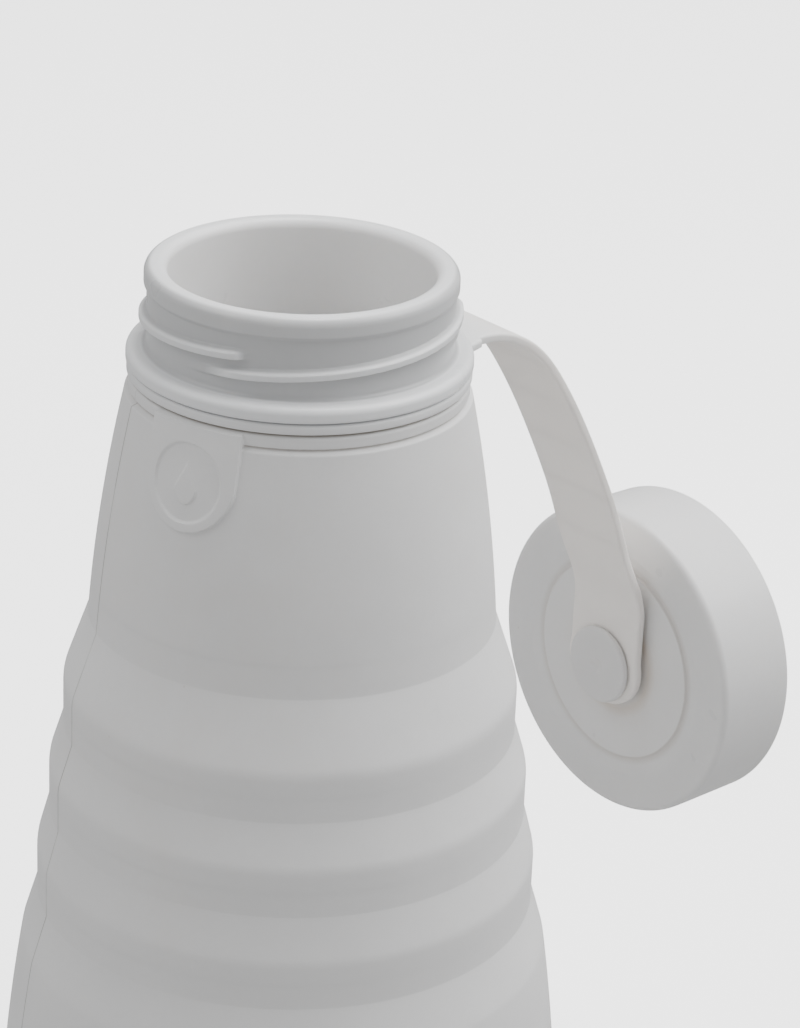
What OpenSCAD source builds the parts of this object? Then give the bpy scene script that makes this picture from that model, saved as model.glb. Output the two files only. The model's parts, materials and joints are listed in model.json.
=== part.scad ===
// Folding water bottle: a silicone body that stacks up on itself in four folds,
// a rigid threaded neck, and a screw cap that hangs from the neck on a silicone strap.
// Origin at the centre of the underside, +Z up the bottle, +X towards the hanging cap.

/* [Bottle] */
// Height of the rim above the underside
bottle_h = 172; // [165:1:180]
// Outer radius near the foot of the base cup
base_r = 46; // [45:0.5:48]
// Outer radius at the top of the base cup, just under its fold
base_top_r = 41.8; // [41.6:0.1:42.4]
// Rounding between the side and the underside
foot_round = 7; // [4:0.5:9]
// Thickness of the silicone wall
wall_t = 1.5; // [1.2:0.1:1.6]
// Thickness of the silicone floor
floor_t = 2.4; // [2:0.2:4]

/* [Fold rings] */
// Outer radius of the upper ring
upper_ring_r = 35.3; // [35.2:0.1:35.5]
// Outer radius of the middle ring
middle_ring_r = 37.5; // [37.4:0.1:37.6]
// Outer radius of the lower ring
lower_ring_r = 39.4; // [39.3:0.1:39.5]
// Height of the straight wall of each ring
ring_wall_h = 7.6; // [7:0.1:8]
// Height of each of the three lower folds
fold_h = 7.1; // [6.5:0.1:7.5]
// Height of the tall fold under the shoulder
tall_fold_h = 10.9; // [10:0.1:11.5]

/* [Shoulder] */
// Outer radius at the foot of the shoulder
shoulder_foot_r = 31.5; // [31:0.1:32]
// Outer radius at the top of the shoulder
shoulder_top_r = 26.2; // [26:0.1:26.5]
// Height from the foot of the shoulder to its top edge
shoulder_h = 36.6; // [35:0.1:38]
// Radius of the bead that grips the neck
grip_bead_r = 25.7; // [25.5:0.1:26]
// Width of the raised tab on the shoulder
tab_w = 16.2; // [14:0.2:17]
// Turn of the raised tab about the bottle, from +X
tab_turn = 195.6; // [180:0.2:210]
// Radius of the round recess in the tab
tab_recess_r = 5.9; // [4:0.1:6]

/* [Neck] */
// Radius of the mouth
mouth_r = 20; // [19.6:0.1:20.2]
// Outer radius of the neck wall
neck_r = 23.05; // [23:0.05:23.2]
// Largest radius of the rolled lip
lip_r = 23.5; // [23.4:0.05:23.6]
// Crest radius of the neck's thread
thread_crest_r = 24.2; // [24:0.05:24.3]
// Outer radius of the flange
flange_r = 26.1; // [26:0.1:26.4]
// Thread lead: how far the cap rises in one turn
thread_lead = 8.7; // [8:0.1:9]
// Number of thread starts
thread_starts = 3; // [2:1:4]
// Sweep of each thread about the axis
thread_sweep = 139; // [120:1:150]

/* [Cap] */
// Outer radius of the cap
cap_r = 27; // [26.8:0.1:27.4]
// Height of the cap
cap_h = 15.1; // [14.6:0.1:15.6]
// Inner radius of the cap's skirt
cap_bore_r = 24.6; // [24.5:0.05:24.8]
// Radius of the round dish in the cap's face
dish_r = 18.9; // [18:0.1:20]
// Depth of that dish
dish_depth = 0.4; // [0.3:0.1:0.8]

/* [Strap] */
// Width of the strap
strap_w = 16; // [14:0.5:18]
// Thickness of the strap and of its ring
strap_t = 1.5; // [1.3:0.1:1.6]
// Length of each strap segment, from bend to bend
segment_len = 10.3; // [10:0.1:10.6]
// Radius of the strap's round end
strap_end_r = 8.3; // [8:0.1:9]
// Radius of the stud's shank, on which the cap turns
shank_r = 2.55; // [2.4:0.05:2.8]
// Radius of the stud's round head
stud_head_r = 6.7; // [6:0.1:7.2]

/* [Hidden] */

// colours of the moulded parts
silicone_grey = [0.74, 0.75, 0.76];
neck_grey = [0.66, 0.67, 0.68];

// heights on the bottle's axis, from the rim down
flange_top = bottle_h - 12.6;
flange_under = bottle_h - 15.05;
strap_mid_z = bottle_h - 16.15;
grip_top = bottle_h - 17.3;
grip_groove = bottle_h - 19.2;
shoulder_top = bottle_h - 19.8;
collar_foot = bottle_h - 28;
shoulder_foot = shoulder_top - shoulder_h;
upper_ring_top = shoulder_foot - tall_fold_h;
upper_ring_foot = upper_ring_top - ring_wall_h;
middle_ring_top = upper_ring_foot - fold_h;
middle_ring_foot = middle_ring_top - ring_wall_h;
lower_ring_top = middle_ring_foot - fold_h;
lower_ring_foot = lower_ring_top - ring_wall_h;
base_fold_extra = 0.9;
base_top = lower_ring_foot - fold_h - base_fold_extra;

// how far the shoulder bows out between its ends, and how much the base cone eases off
shoulder_bow = 2.6;
base_ease = 0.75;

// where a fold's slope bends over: share of its radius step and share of its height
fold_reach = 0.82;
fold_bend = 0.62;

// the raised tab: height, how far it stands out, and the height and lean of its round recess
tab_h = 14.6;
tab_proud = 0.55;
tab_recess_z = bottle_h - 26;
tab_recess_lean = 81;

// the neck's groove under the flange, where the strap ring turns
groove_r = 23.5;
swivel_gap = 0.05;

// the two barbs round the neck's skirt: how far they stand out, their heights and their slope
collar_barb = 0.5;
barb_levels = [grip_top - 3.2, grip_top - 6.4];
barb_slope_h = 1.2;
barb_step_h = 0.2;

// thread profile: half heights at the root and at the crest, and how far it fades out
thread_top_z = bottle_h - 6.2;
thread_root_half = 1.2;
thread_sunk = 0.45;
thread_crest_half = 0.42;
thread_fade = 10;
thread_dip = 0.3;
thread_step = 5;
thread_first_turn = -146;

// the strap's segments leave the ring at these slopes below the horizontal, in order
segment_slopes = [21, 49, 59, 63, 66, 69, 70];
first_bend = [31, strap_mid_z];
segment_gap = 0.3;
bend_r = strap_t / 2;
strap_end_start = strap_t + segment_gap;

// where bend number i lies, as [x, z]
function bend(i) = i == 0
    ? first_bend
    : bend(i - 1) + segment_len * [cos(segment_slopes[i - 1]), -sin(segment_slopes[i - 1])];

last_bend = bend(len(segment_slopes));
face_gap = 0.85;
stud_z = bottle_h - 85.5;
cap_face_x = last_bend[0] + strap_t / 2 + face_gap;

// inside the cap: its top plate, the boss for the stud, and the thread
top_t = 2.6;
boss_r = 4.8;
boss_h = 7.2;
socket_h = 6;
cap_thread_crest_r = cap_bore_r - 1;
cap_thread_top = cap_h - 2.2;
cap_thread_turn = 20;
gasket_t = 1.4;

$fn = 96;

// points of an arc about [x, z], from angle a to angle b
function arc(x, z, r, a, b, steps = 8) =
    [for (i = [0:steps]) let (t = a + (b - a) * i / steps) [x + r * cos(t), z + r * sin(t)]];

// the shoulder's outer radius at height z: a shallow outward bow between its two ends
function shoulder_r(z) =
    let (s = (shoulder_top - z) / shoulder_h)
    shoulder_top_r + (shoulder_foot_r - shoulder_top_r) * s + shoulder_bow * s * (1 - s);

// the base cup's outer radius at height z: a cone that eases off towards the foot
function base_side_r(z) =
    let (s = (base_top - z) / base_top)
    base_top_r + (base_r - base_top_r) * ((1 + base_ease) * s - base_ease * s * s);

module revolved(points) {
    rotate_extrude() polygon(points);
}

// a straight ring of wall
module wall_ring(r, foot, top) {
    revolved([[r - wall_t, foot], [r, foot], [r, top], [r - wall_t, top]]);
}

// the sloping wall between an upper, narrower ring and a lower, wider one
module fold(r_up, top, r_low, foot) {
    r_mid = r_up + (r_low - r_up) * fold_reach;
    z_mid = top + (foot - top) * fold_bend;
    revolved([
        [r_up - wall_t, top], [r_up, top], [r_mid, z_mid], [r_low, foot],
        [r_low - wall_t, foot], [r_mid - wall_t, z_mid]
    ]);
}

// one thread, running down and back from its upper end; it sinks into the wall at both ends
module thread(root_r, crest_r, top_z, first_turn) {
    steps = ceil(thread_sweep / thread_step);
    rows = [
        for (i = [0:steps])
            let (
                back = thread_sweep * i / steps,
                rise = min(1, min(back, thread_sweep - back) / thread_fade - thread_dip),
                r = root_r + (crest_r - root_r) * rise,
                inside = root_r - (crest_r - root_r) * thread_sunk,
                z = top_z - thread_lead * back / 360,
                a = first_turn - back
            )
            [
                [inside * cos(a), inside * sin(a), z - thread_root_half],
                [r * cos(a), r * sin(a), z - thread_crest_half],
                [r * cos(a), r * sin(a), z + thread_crest_half],
                [inside * cos(a), inside * sin(a), z + thread_root_half]
            ]
    ];
    n = len(rows[0]);
    sides = [for (i = [0:steps - 1]) for (k = [0:n - 1]) for (half = [0, 1])
        let (a = i * n + k, b = i * n + (k + 1) % n)
        half == 0 ? [a, a + n, b + n] : [a, b + n, b]];
    faces = concat([[for (k = [0:n - 1]) k]], sides, [[for (k = [n - 1:-1:0]) steps * n + k]]);
    flipped = [for (f = faces) [for (k = [len(f) - 1:-1:0]) f[k]]];
    polyhedron([for (row = rows) each row], faces = crest_r > root_r ? faces : flipped);
}

module threads(root_r, crest_r, top_z, first_turn) {
    for (i = [0:thread_starts - 1])
        thread(root_r, crest_r, top_z, first_turn + 360 * i / thread_starts);
}

// the silicone cup that the bottle stands on
module base_cup() {
    side_steps = 10;
    side = [for (i = [0:side_steps])
        let (z = base_top + (foot_round - base_top) * i / side_steps) [base_side_r(z), z]];
    foot_r = base_side_r(foot_round);
    inner_round = foot_round - wall_t;
    color(silicone_grey)
    revolved(concat(
        [for (p = side) [p[0] - wall_t, p[1]]],
        arc(foot_r - foot_round, foot_round + floor_t - wall_t, inner_round, 0, -90),
        [[0, floor_t], [0, 0]],
        arc(foot_r - foot_round, foot_round, foot_round, -90, 0),
        [for (i = [side_steps - 1:-1:0]) side[i]]
    ));
}

module fold_base() {
    color(silicone_grey) fold(lower_ring_r, lower_ring_foot, base_top_r, base_top);
}

module ring_lower() {
    color(silicone_grey) wall_ring(lower_ring_r, lower_ring_foot, lower_ring_top);
}

module fold_lower() {
    color(silicone_grey) fold(middle_ring_r, middle_ring_foot, lower_ring_r, lower_ring_top);
}

module ring_middle() {
    color(silicone_grey) wall_ring(middle_ring_r, middle_ring_foot, middle_ring_top);
}

module fold_middle() {
    color(silicone_grey) fold(upper_ring_r, upper_ring_foot, middle_ring_r, middle_ring_top);
}

module ring_upper() {
    color(silicone_grey) wall_ring(upper_ring_r, upper_ring_foot, upper_ring_top);
}

module fold_upper() {
    color(silicone_grey) fold(shoulder_foot_r, shoulder_foot, upper_ring_r, upper_ring_top);
}

// outline of the raised tab, seen from outside: square at the top, round at the foot
module tab_outline() {
    hull() {
        translate([-tab_w / 2, -1]) square([tab_w, 1]);
        translate([0, -tab_h + tab_w / 2]) circle(r = tab_w / 2 - 0.3);
    }
}

// the upper silicone: it grips the neck's skirt and carries the raised tab
module shoulder() {
    bow_steps = 12;
    bow = [for (i = [0:bow_steps])
        let (z = shoulder_top - shoulder_h * i / bow_steps) [shoulder_r(z), z]];
    inner_start = collar_foot - 1.5;
    color(silicone_grey) {
        difference() {
            revolved(concat(
                [[groove_r, grip_top], [grip_bead_r - 0.6, grip_top]],
                arc(grip_bead_r - 0.6, grip_top - 0.6, 0.6, 90, 0, 3),
                [[grip_bead_r, grip_groove + 0.5], [grip_bead_r - 0.45, grip_groove]],
                bow,
                [[shoulder_foot_r - wall_t, shoulder_foot]],
                [for (i = [bow_steps - 1:-1:0]) if (bow[i][1] < inner_start)
                    [bow[i][0] - wall_t, bow[i][1]]],
                [[groove_r, inner_start]]
            ));
            collar_barbs();
        }
        difference() {
            intersection() {
                tab_skin();
                rotate([0, 0, tab_turn])
                    translate([0, 0, grip_top])
                        rotate([90, 0, 90])
                            linear_extrude(40)
                                tab_outline();
            }
            rotate([0, 0, tab_turn])
                translate([shoulder_r(tab_recess_z) + 0.3, 0, tab_recess_z])
                    rotate([0, tab_recess_lean, 0])
                        cylinder(r = tab_recess_r, h = 5);
        }
    }
}

// a thin skin over the bead and the shoulder, from which the tab is cut
module tab_skin() {
    steps = 8;
    foot = grip_top - tab_h - 1.4;
    levels = [for (i = [0:steps]) shoulder_top + (foot - shoulder_top) * i / steps];
    revolved(concat(
        [[grip_bead_r - 0.5, grip_top], [grip_bead_r + tab_proud, grip_top]],
        [for (z = levels) [shoulder_r(z) + tab_proud, z]],
        [for (i = [steps:-1:0]) [shoulder_r(levels[i]) - 0.4, levels[i]]]
    ));
}

// two barbs round the neck's skirt, which lock it into the silicone
module collar_barbs() {
    sunk_r = groove_r - 0.4;
    for (z = barb_levels)
        revolved([[sunk_r, z - barb_slope_h], [groove_r, z - barb_slope_h],
            [groove_r + collar_barb, z], [groove_r, z + barb_step_h], [sunk_r, z + barb_step_h]]);
}

// the rigid neck: rolled lip, thread, flange, strap groove and barbed skirt
module neck_collar() {
    lip_round = 1.5;
    lip_foot = bottle_h - 3;
    color(neck_grey) {
        revolved(concat(
            arc(mouth_r + lip_round, bottle_h - lip_round, lip_round, 180, 90, 6),
            arc(lip_r - lip_round, bottle_h - lip_round, lip_round, 90, 0, 6),
            [[lip_r, lip_foot + 0.5], [neck_r, lip_foot], [neck_r, flange_top + 0.5],
                [neck_r + 0.5, flange_top]],
            arc(flange_r - 1.2, flange_top - 1.2, 1.2, 90, 0, 4),
            [[flange_r, flange_under], [groove_r, flange_under], [groove_r, collar_foot],
                [mouth_r, collar_foot]]
        ));
        collar_barbs();
        threads(neck_r, thread_crest_r, thread_top_z, thread_first_turn);
    }
}

// the ring that turns on the neck, with the root of the strap on it
module strap_ring() {
    ring_r = flange_r - 0.15;
    flare = 3;
    root_x = first_bend[0];
    color(silicone_grey) {
        difference() {
            union() {
                translate([0, 0, strap_mid_z - strap_t / 2])
                    cylinder(r = ring_r, h = strap_t);
                translate([0, 0, strap_mid_z - strap_t / 2])
                    linear_extrude(strap_t)
                        polygon([[20, -strap_w / 2 - flare], [24.5, -strap_w / 2 - 1],
                            [27, -strap_w / 2], [root_x, -strap_w / 2], [root_x, strap_w / 2],
                            [27, strap_w / 2], [24.5, strap_w / 2 + 1],
                            [20, strap_w / 2 + flare]]);
                translate([root_x, strap_w / 2, strap_mid_z])
                    rotate([90, 0, 0])
                        cylinder(r = bend_r, h = strap_w);
            }
            translate([0, 0, strap_mid_z - strap_t])
                cylinder(r = groove_r + swivel_gap, h = 2 * strap_t);
        }
    }
}

// a flat length of strap along +X from its bend, ending in the round edge of the next bend
module strap_length(from_x, to_x) {
    translate([from_x, -strap_w / 2, -strap_t / 2])
        cube([to_x - from_x, strap_w, strap_t]);
    for (x = [from_x, to_x])
        translate([x, strap_w / 2, 0])
            rotate([90, 0, 0])
                cylinder(r = bend_r, h = strap_w);
}

module strap_segment(i) {
    start = bend(i - 1);
    color(silicone_grey)
        translate([start[0], 0, start[1]])
            rotate([0, segment_slopes[i - 1], 0])
                strap_length(strap_end_start, segment_len);
}

// the strap's round end, with the hole that turns on the stud
module strap_end() {
    stud_drop = last_bend[1] - stud_z;
    color(silicone_grey)
        translate([last_bend[0], 0, last_bend[1]])
            rotate([0, 90, 0])
                difference() {
                    union() {
                        translate([strap_end_start, 0, 0])
                            translate([0, strap_w / 2, 0])
                                rotate([90, 0, 0])
                                    cylinder(r = bend_r, h = strap_w);
                        translate([strap_end_start, -strap_w / 2, -strap_t / 2])
                            cube([stud_drop - strap_end_start, strap_w, strap_t]);
                        translate([stud_drop, 0, -strap_t / 2])
                            cylinder(r = strap_end_r, h = strap_t);
                    }
                    translate([stud_drop, 0, -strap_t])
                        cylinder(r = shank_r + swivel_gap, h = 2 * strap_t);
                }
}

// places a part drawn about +Z, with its outer face at zero, as the hanging cap lies
module on_cap() {
    translate([cap_face_x, 0, stud_z]) rotate([0, 90, 0]) children();
}

// the screw cap: dished face, threaded skirt and the boss that takes the stud
module cap_shell() {
    edge = 2;
    color(neck_grey)
    on_cap() {
        difference() {
            revolved(concat(
                [[0, dish_depth], [dish_r, dish_depth], [dish_r + 0.4, 0]],
                arc(cap_r - edge, edge, edge, -90, 0, 6),
                [[cap_r - 0.15, cap_h - 0.5], [cap_r - 0.65, cap_h], [cap_bore_r + 0.4, cap_h],
                    [cap_bore_r, cap_h - 0.4], [cap_bore_r, top_t], [boss_r, top_t],
                    [boss_r, boss_h], [0, boss_h]]
            ));
            translate([0, 0, -1]) cylinder(r = shank_r, h = socket_h + 1);
        }
        threads(cap_bore_r, cap_thread_crest_r, cap_thread_top, cap_thread_turn);
    }
}

// the sealing ring inside the cap
module cap_gasket() {
    color("whitesmoke")
    on_cap()
        revolved([[mouth_r - 1.5, top_t], [cap_bore_r - 0.1, top_t],
            [cap_bore_r - 0.1, top_t + gasket_t], [mouth_r + 2.6, top_t + gasket_t],
            [mouth_r + 2.2, top_t + gasket_t - 0.3], [mouth_r - 1.5, top_t + gasket_t - 0.3]]);
}

// the stud: a domed head in front of the strap and a shank pressed into the cap
module cap_stud() {
    strap_front = -face_gap - strap_t;
    head_back = strap_front - 0.3;
    head_t = 1.1;
    color(silicone_grey)
    on_cap() {
        translate([0, 0, head_back])
            cylinder(r = shank_r, h = socket_h - head_back);
        difference() {
            revolved(concat(
                [[0, head_back], [stud_head_r - 0.4, head_back]],
                arc(stud_head_r - 0.5, head_back - 0.5, 0.5, 60, 0, 3),
                arc(stud_head_r - 0.6, head_back - head_t + 0.6, 0.6, 0, -80, 4),
                [[1.6, head_back - head_t - 0.25], [0, head_back - head_t - 0.25]]
            ));
            translate([0, 0, head_back - head_t - 1.6]) sphere(r = 1.7);
        }
    }
}

base_cup();
fold_base();
ring_lower();
fold_lower();
ring_middle();
fold_middle();
ring_upper();
fold_upper();
shoulder();
neck_collar();
strap_ring();
strap_segment(1);  // strap_segment_1
strap_segment(2);  // strap_segment_2
strap_segment(3);  // strap_segment_3
strap_segment(4);  // strap_segment_4
strap_segment(5);  // strap_segment_5
strap_segment(6);  // strap_segment_6
strap_segment(7);  // strap_segment_7
strap_end();
cap_shell();
cap_gasket();
cap_stud();
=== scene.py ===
# Folding water bottle: the looks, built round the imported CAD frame.
# Shapes are worked out in millimetres and turned into metres as each mesh is made.
# The bottle stands on z = 0 with its axis on Z. Turns are degrees round Z, and the strap is at 0.
import json
import math

import bmesh
import bpy
import numpy as np
from mathutils import Matrix, Vector


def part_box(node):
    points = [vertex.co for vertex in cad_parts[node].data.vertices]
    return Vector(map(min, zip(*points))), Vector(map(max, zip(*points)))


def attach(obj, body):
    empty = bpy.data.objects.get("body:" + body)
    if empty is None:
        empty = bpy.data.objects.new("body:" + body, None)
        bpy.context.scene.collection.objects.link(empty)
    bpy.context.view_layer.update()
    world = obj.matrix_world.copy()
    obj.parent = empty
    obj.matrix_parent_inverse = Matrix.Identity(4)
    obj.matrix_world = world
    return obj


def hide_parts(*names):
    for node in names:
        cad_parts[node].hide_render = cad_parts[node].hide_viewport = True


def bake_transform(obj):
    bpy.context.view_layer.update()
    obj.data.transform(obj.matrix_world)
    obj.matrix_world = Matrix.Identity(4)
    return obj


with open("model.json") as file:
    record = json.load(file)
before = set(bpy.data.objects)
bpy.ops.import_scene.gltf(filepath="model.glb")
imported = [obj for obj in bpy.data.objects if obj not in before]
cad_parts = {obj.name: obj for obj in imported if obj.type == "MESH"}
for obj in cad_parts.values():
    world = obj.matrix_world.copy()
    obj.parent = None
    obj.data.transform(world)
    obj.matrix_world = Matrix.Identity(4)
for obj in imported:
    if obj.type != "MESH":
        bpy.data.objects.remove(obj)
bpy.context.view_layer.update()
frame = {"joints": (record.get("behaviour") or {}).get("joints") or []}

MM = 0.001


# ---------------------------------------------------------------- sizes from the frame

def low(node):
    """The low corner of a CAD node's box."""
    return np.array(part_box(node)[0]) / MM


def high(node):
    """The high corner of a CAD node's box."""
    return np.array(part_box(node)[1]) / MM


def joint_at(name):
    """Where a hinge lies, in millimetres."""
    joint = next(j for j in frame["joints"] if j["name"] == name)
    return np.array(joint["pos_m"]) / MM


# silicone body, from the top down
rim_z = high("neck_collar")[2]
wall_t = 1.5
shoulder_foot_z = low("shoulder")[2]
grip_top_z = high("shoulder")[2]
shoulder_top_z = rim_z - 19.8
grip_groove_z = rim_z - 19.2
base_top_z = high("base_cup")[2]

shoulder_top_r = 26.2
shoulder_foot_r = 31.5
grip_bead_r = 25.7
base_top_r = 41.8
base_foot_r = 46.0
foot_round = 7.0
crease_round = 0.9
ring_round = 7.0
base_round = 9.0
ring_r = {name: high(name)[1] for name in ("ring_upper", "ring_middle", "ring_lower")}
ring_top = {name: high(name)[2] for name in ring_r}
ring_foot = {name: low(name)[2] for name in ring_r}

tab_turn = 195.6
parting_turns = (161.1, 341.1)
parting_height = 0.14
parting_half = 0.2

# neck and its three-start thread, which the cap's thread repeats
neck_r = 23.05
lip_r = 23.5
mouth_r = 20.0
groove_r = 23.5
flange_r = high("neck_collar")[1]
thread_height = 1.15
thread_lead = 8.7
thread_sweep = 139.0
thread_top_z = rim_z - 6.2
thread_first_turn = -146.0

# strap and cap
strap_w = 16.0
strap_t = 1.5
strap_mid_z = rim_z - 16.15
stud_at = joint_at("cap_spin")
cap_face_x = low("cap_shell")[0]
cap_r = high("cap_shell")[1]
cap_h = high("cap_shell")[0] - cap_face_x
cap_top_t = 2.6


# ---------------------------------------------------------------- outlines and meshes

def smoothstep(low_edge, high_edge, value):
    """0 before low_edge and 1 past high_edge, with a smooth rise between; the edges may be swapped."""
    t = np.clip((value - low_edge) / (high_edge - low_edge), 0, 1)
    return t * t * (3 - 2 * t)


def rounded(corners, step=0.35, straight=1e-4, widest_turn=0.2):
    """A line through corners (x, z, radius), each rounded off by an arc of about that radius, in steps
    no longer than step and turning by no more than widest_turn radians."""
    points = [np.array(c[:2], float) for c in corners]
    line = [points[0]]
    for i in range(1, len(points) - 1):
        before, here, after = points[i - 1], points[i], points[i + 1]
        into = (here - before) / np.linalg.norm(here - before)
        out = (after - here) / np.linalg.norm(after - here)
        turn = math.acos(float(np.clip(into @ out, -1, 1)))
        radius = corners[i][2]
        if radius <= 0 or turn < straight:
            line.append(here)
            continue
        room = 0.49 * min(np.linalg.norm(here - before), np.linalg.norm(after - here))
        reach = min(radius * math.tan(turn / 2), room)
        radius = reach / math.tan(turn / 2)
        side = np.array([-into[1], into[0]])
        if side @ out < 0:
            side = -side
        centre = here - into * reach + side * radius
        count = max(3, math.ceil(turn * radius / step), math.ceil(turn / widest_turn))
        for k in range(count + 1):
            angle = turn * k / count
            line.append(centre - side * radius * math.cos(angle) + into * radius * math.sin(angle))
    line.append(points[-1])
    return np.array(line)


def densify(line, step):
    """The same line with no stretch longer than step."""
    out = [line[0]]
    for a, b in zip(line[:-1], line[1:]):
        count = max(1, math.ceil(np.linalg.norm(b - a) / step))
        out += [a + (b - a) * (k + 1) / count for k in range(count)]
    return np.array(out)


def away_from(angle, centre):
    """How far a turn lies from another, in degrees from -180 to 180."""
    return (angle - centre + 180) % 360 - 180


def turns(count, *finer):
    """Angles round the axis in radians: an even spread, closer in each (centre, half, step) window."""
    spread = [360.0 * i / count for i in range(count)]
    for centre, half, step in finer:
        clear = half + 0.4 * 360 / count
        spread = [a for a in spread if abs(away_from(a, centre)) > clear]
        steps = round(half / step)
        spread += [(centre + k * step) % 360 for k in range(-steps, steps + 1)]
    return np.radians(sorted(spread))


def make_piece(name, points, faces, sharp_deg=32.0):
    """A mesh object from points in millimetres, smooth but for its sharp edges."""
    mesh = bpy.data.meshes.new(name)
    mesh.from_pydata((np.asarray(points) * MM).tolist(), [], faces)
    mesh.update()
    built = bmesh.new()
    built.from_mesh(mesh)
    bmesh.ops.remove_doubles(built, verts=built.verts, dist=1e-7)
    bmesh.ops.recalc_face_normals(built, faces=built.faces)
    limit = math.radians(sharp_deg)
    for face in built.faces:
        face.smooth = True
    for edge in built.edges:
        edge.smooth = edge.is_manifold and edge.calc_face_angle(0) < limit
    built.to_mesh(mesh)
    built.free()
    piece = bpy.data.objects.new(name, mesh)
    bpy.context.scene.collection.objects.link(piece)
    return piece


def revolve(name, outline, angles, relief=None, relief_rows=0):
    """A closed outline [r, z] turned about +Z. An outline that starts and ends on the axis closes there.
    relief(angle, z) lifts the first relief_rows points of the outline outwards, in millimetres."""
    outline = np.asarray(outline, float)
    count = len(angles)
    on_axis = outline[0][0] < 1e-6
    radii = np.repeat(outline[:, :1], count, axis=1)
    levels = np.repeat(outline[:, 1:2], count, axis=1)
    if relief is not None:
        grid = np.meshgrid(angles, outline[:relief_rows, 1])
        radii[:relief_rows] += relief(grid[0], grid[1])
    points = np.stack([radii * np.cos(angles), radii * np.sin(angles), levels], axis=2)
    points = points.reshape(-1, 3)
    rows = len(outline)
    faces = []
    last = rows - 1 if on_axis else rows
    for i in range(last):
        j = (i + 1) % rows
        for k in range(count):
            m = (k + 1) % count
            corners = [i * count + k, i * count + m, j * count + m, j * count + k]
            if on_axis and i == 0:
                corners = [0, j * count + m, j * count + k]
            elif on_axis and j == rows - 1:
                corners = [i * count + k, i * count + m, j * count]
            faces.append(corners)
    if on_axis:
        used = sorted({c for f in faces for c in f})
        index = {old: new for new, old in enumerate(used)}
        points = points[used]
        faces = [[index[c] for c in f] for f in faces]
    return make_piece(name, points, faces)


# ---------------------------------------------------------------- materials

class Nodes:
    """A small helper that adds and links shader nodes."""

    def __init__(self, name):
        self.material = bpy.data.materials.new(name)
        self.material.use_nodes = True
        self.tree = self.material.node_tree
        self.shader = self.tree.nodes["Principled BSDF"]
        self.place = self.add("ShaderNodeTexCoord").outputs["Object"]

    def add(self, kind, **inputs):
        node = self.tree.nodes.new(kind)
        for key, value in inputs.items():
            self.put(node.inputs[key.replace("_", " ")], value)
        return node

    def put(self, socket, value):
        if isinstance(value, bpy.types.NodeSocket):
            self.tree.links.new(value, socket)
        else:
            socket.default_value = value

    def noise(self, scale, detail=4.0, roughness=0.5):
        node = self.add("ShaderNodeTexNoise", Vector=self.place, Scale=scale, Detail=detail,
                        Roughness=roughness)
        return node.outputs["Fac"]

    def ramp(self, factor, stops):
        node = self.add("ShaderNodeValToRGB", Fac=factor)
        ramp = node.color_ramp
        while len(ramp.elements) < len(stops):
            ramp.elements.new(0.5)
        for element, (position, colour) in zip(ramp.elements, stops):
            element.position = position
            element.color = colour
        return node.outputs["Color"]

    def mix(self, factor, a, b, blend_type="MIX"):
        node = self.tree.nodes.new("ShaderNodeMix")
        node.data_type = "RGBA"
        node.blend_type = blend_type
        self.put(node.inputs["Factor"], factor)
        self.put(node.inputs["A"], a)
        self.put(node.inputs["B"], b)
        return node.outputs["Result"]

    def map_range(self, value, from_range, to_range=(0.0, 1.0)):
        node = self.add("ShaderNodeMapRange", Value=value)
        node.inputs["From Min"].default_value, node.inputs["From Max"].default_value = from_range
        node.inputs["To Min"].default_value, node.inputs["To Max"].default_value = to_range
        return node.outputs["Result"]

    def times(self, a, b):
        node = self.tree.nodes.new("ShaderNodeMath")
        node.operation = "MULTIPLY"
        self.put(node.inputs[0], a)
        self.put(node.inputs[1], b)
        return node.outputs[0]

    def bump(self, height, strength, distance, normal=None):
        node = self.add("ShaderNodeBump", Height=height, Strength=strength, Distance=distance)
        if normal is not None:
            self.put(node.inputs["Normal"], normal)
        return node.outputs["Normal"]

    def surface(self, **values):
        """Puts values or links on the shader's own sockets."""
        for key, value in values.items():
            self.put(self.shader.inputs[key.replace("_", " ")], value)


def grey(value, warm=0.0):
    """A grey, with red raised and blue lowered by the share warm."""
    return (value * (1 + warm), value, value * (1 - warm), 1.0)


def specks(nodes, scale, size):
    """1 inside rare small round specks, 0 elsewhere."""
    cells = nodes.add("ShaderNodeTexVoronoi", Vector=nodes.place, Scale=scale)
    dot = nodes.map_range(cells.outputs["Distance"], (size, size * 0.5))
    chosen = nodes.add("ShaderNodeSeparateColor", Color=cells.outputs["Color"])
    rare = nodes.map_range(chosen.outputs["Red"], (0.955, 0.96))
    return nodes.times(dot, rare)


def radius_bands(nodes, stops, centre):
    """A colour by distance from an axis, from (radius in millimetres, colour) pairs. The axis is the
    bottle's, or with a centre it runs through that point along +X."""
    moved = nodes.add("ShaderNodeVectorMath", Vector=nodes.place)
    moved.operation = "SUBTRACT"
    moved.inputs[1].default_value = (0, 0, 0) if centre is None else tuple(c * MM for c in centre)
    flat = nodes.add("ShaderNodeVectorMath", Vector=moved.outputs[0])
    flat.operation = "MULTIPLY"
    flat.inputs[1].default_value = (1, 1, 0) if centre is None else (0, 1, 1)
    length = nodes.tree.nodes.new("ShaderNodeVectorMath")
    length.operation = "LENGTH"
    nodes.put(length.inputs[0], flat.outputs[0])
    inner, outer = stops[0][0], stops[-1][0]
    part = nodes.map_range(length.outputs["Value"], (inner * MM, outer * MM))
    return nodes.ramp(part, [((r - inner) / (outer - inner), colour) for r, colour in stops])


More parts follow.
